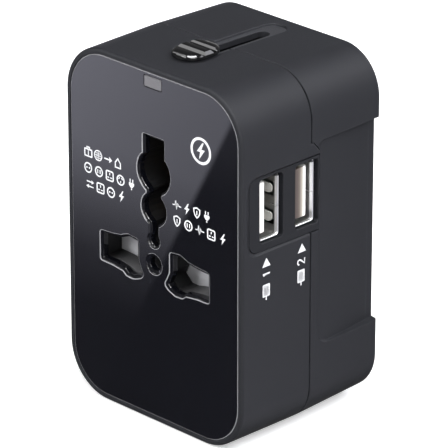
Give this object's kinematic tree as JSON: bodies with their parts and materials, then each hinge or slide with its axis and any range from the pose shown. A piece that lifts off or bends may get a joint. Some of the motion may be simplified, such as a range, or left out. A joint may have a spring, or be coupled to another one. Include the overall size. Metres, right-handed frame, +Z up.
{
  "type": "universal travel adapter",
  "caption": "Rectangular travel plug adapter with a glossy universal socket face, sliding plug pins, side USB charging ports and slider knobs.",
  "frame": {"origin": "middle of the flat base, halfway between the front and rear faces", "axes": "+X to the right seen from the socket side, +Y from the socket face to the plug pins, +Z up"},
  "size_m": [0.0506, 0.0384, 0.0768],
  "materials": {
    "case_plastic": "fine matte texture, charcoal",
    "panel_gloss": "mirror gloss black",
    "knob_gloss": "gloss black",
    "inner_plastic": "satin black",
    "shutter_plastic": "satin mid grey",
    "carriage_plastic": "satin off-white",
    "contact_brass": "brushed",
    "pin_nickel": "satin nickel plating",
    "usb_steel": "bright plated steel",
    "screw_steel": "zinc plated",
    "tongue_plastic": "off-white",
    "circuit_board": "green solder mask",
    "window_plastic": "smoked translucent",
    "led_plastic": "clear resin",
    "transformer_tape": "yellow tape",
    "capacitor_sleeve": "dark sleeve",
    "varistor_epoxy": "blue epoxy",
    "fuse_ceramic": "white ceramic"
  },
  "bodies": {
    "base": {"front_housing": "case_plastic", "rear_housing": "case_plastic", "front_panel": "panel_gloss", "indicator_window": "window_plastic", "indicator_led": "led_plastic", "indicator_board": "circuit_board", "socket_core": "inner_plastic", "live_contact": "contact_brass", "neutral_contact": "contact_brass", "earth_contact": "contact_brass", "shutter_spring": "screw_steel", "usb_bezel": "case_plastic", "usb_shell_1": "usb_steel", "usb_shell_2": "usb_steel", "usb_tongue_1": "tongue_plastic", "usb_tongue_2": "tongue_plastic", "usb_board": "circuit_board", "power_board": "circuit_board", "transformer": "transformer_tape", "storage_capacitor": "capacitor_sleeve", "surge_varistor": "varistor_epoxy", "mains_fuse": "fuse_ceramic", "live_rail": "contact_brass", "neutral_rail": "contact_brass", "case_screw_1": "screw_steel", "case_screw_2": "screw_steel", "case_screw_3": "screw_steel", "case_screw_4": "screw_steel"},
    "shutter": {"safety_shutter": "shutter_plastic"},
    "us_au_slider": {"us_au_knob": "knob_gloss", "us_au_carriage": "carriage_plastic"},
    "us_au_left_blade": {"us_au_blade_left": "pin_nickel"},
    "us_au_right_blade": {"us_au_blade_right": "pin_nickel"},
    "uk_slider": {"uk_knob": "knob_gloss", "uk_carriage": "carriage_plastic", "uk_live_pin": "contact_brass", "uk_neutral_pin": "contact_brass", "uk_earth_pin": "contact_brass"},
    "eu_slider": {"eu_knob": "knob_gloss", "eu_carriage": "carriage_plastic", "eu_pin_left": "pin_nickel", "eu_pin_right": "pin_nickel"}
  },
  "joints": [
    {"name": "us_au_slide", "type": "slide", "parent": "base", "child": "us_au_slider", "axis": [0, 1, 0], "range_m": [0, 0.0175]},
    {"name": "us_au_left_turn", "type": "hinge", "parent": "us_au_slider", "child": "us_au_left_blade", "pos_m": [-0.00635, 0.01, 0.0453], "axis": [0, -1, 0], "range_deg": [0, 30]},
    {"name": "us_au_right_turn", "type": "hinge", "parent": "us_au_slider", "child": "us_au_right_blade", "pos_m": [0.00635, 0.01, 0.0453], "axis": [0, 1, 0], "range_deg": [0, 30]},
    {"name": "uk_slide", "type": "slide", "parent": "base", "child": "uk_slider", "axis": [0, 1, 0], "range_m": [0, 0.0175]},
    {"name": "eu_slide", "type": "slide", "parent": "base", "child": "eu_slider", "axis": [0, 1, 0], "range_m": [0, 0.0175]},
    {"name": "shutter_drop", "type": "slide", "parent": "base", "child": "shutter", "axis": [0, 0, -1], "range_m": [0, 0.008], "stiffness_N_per_m": 60, "springref_m": -0.006, "deforming": ["shutter_spring"]}
  ]
}
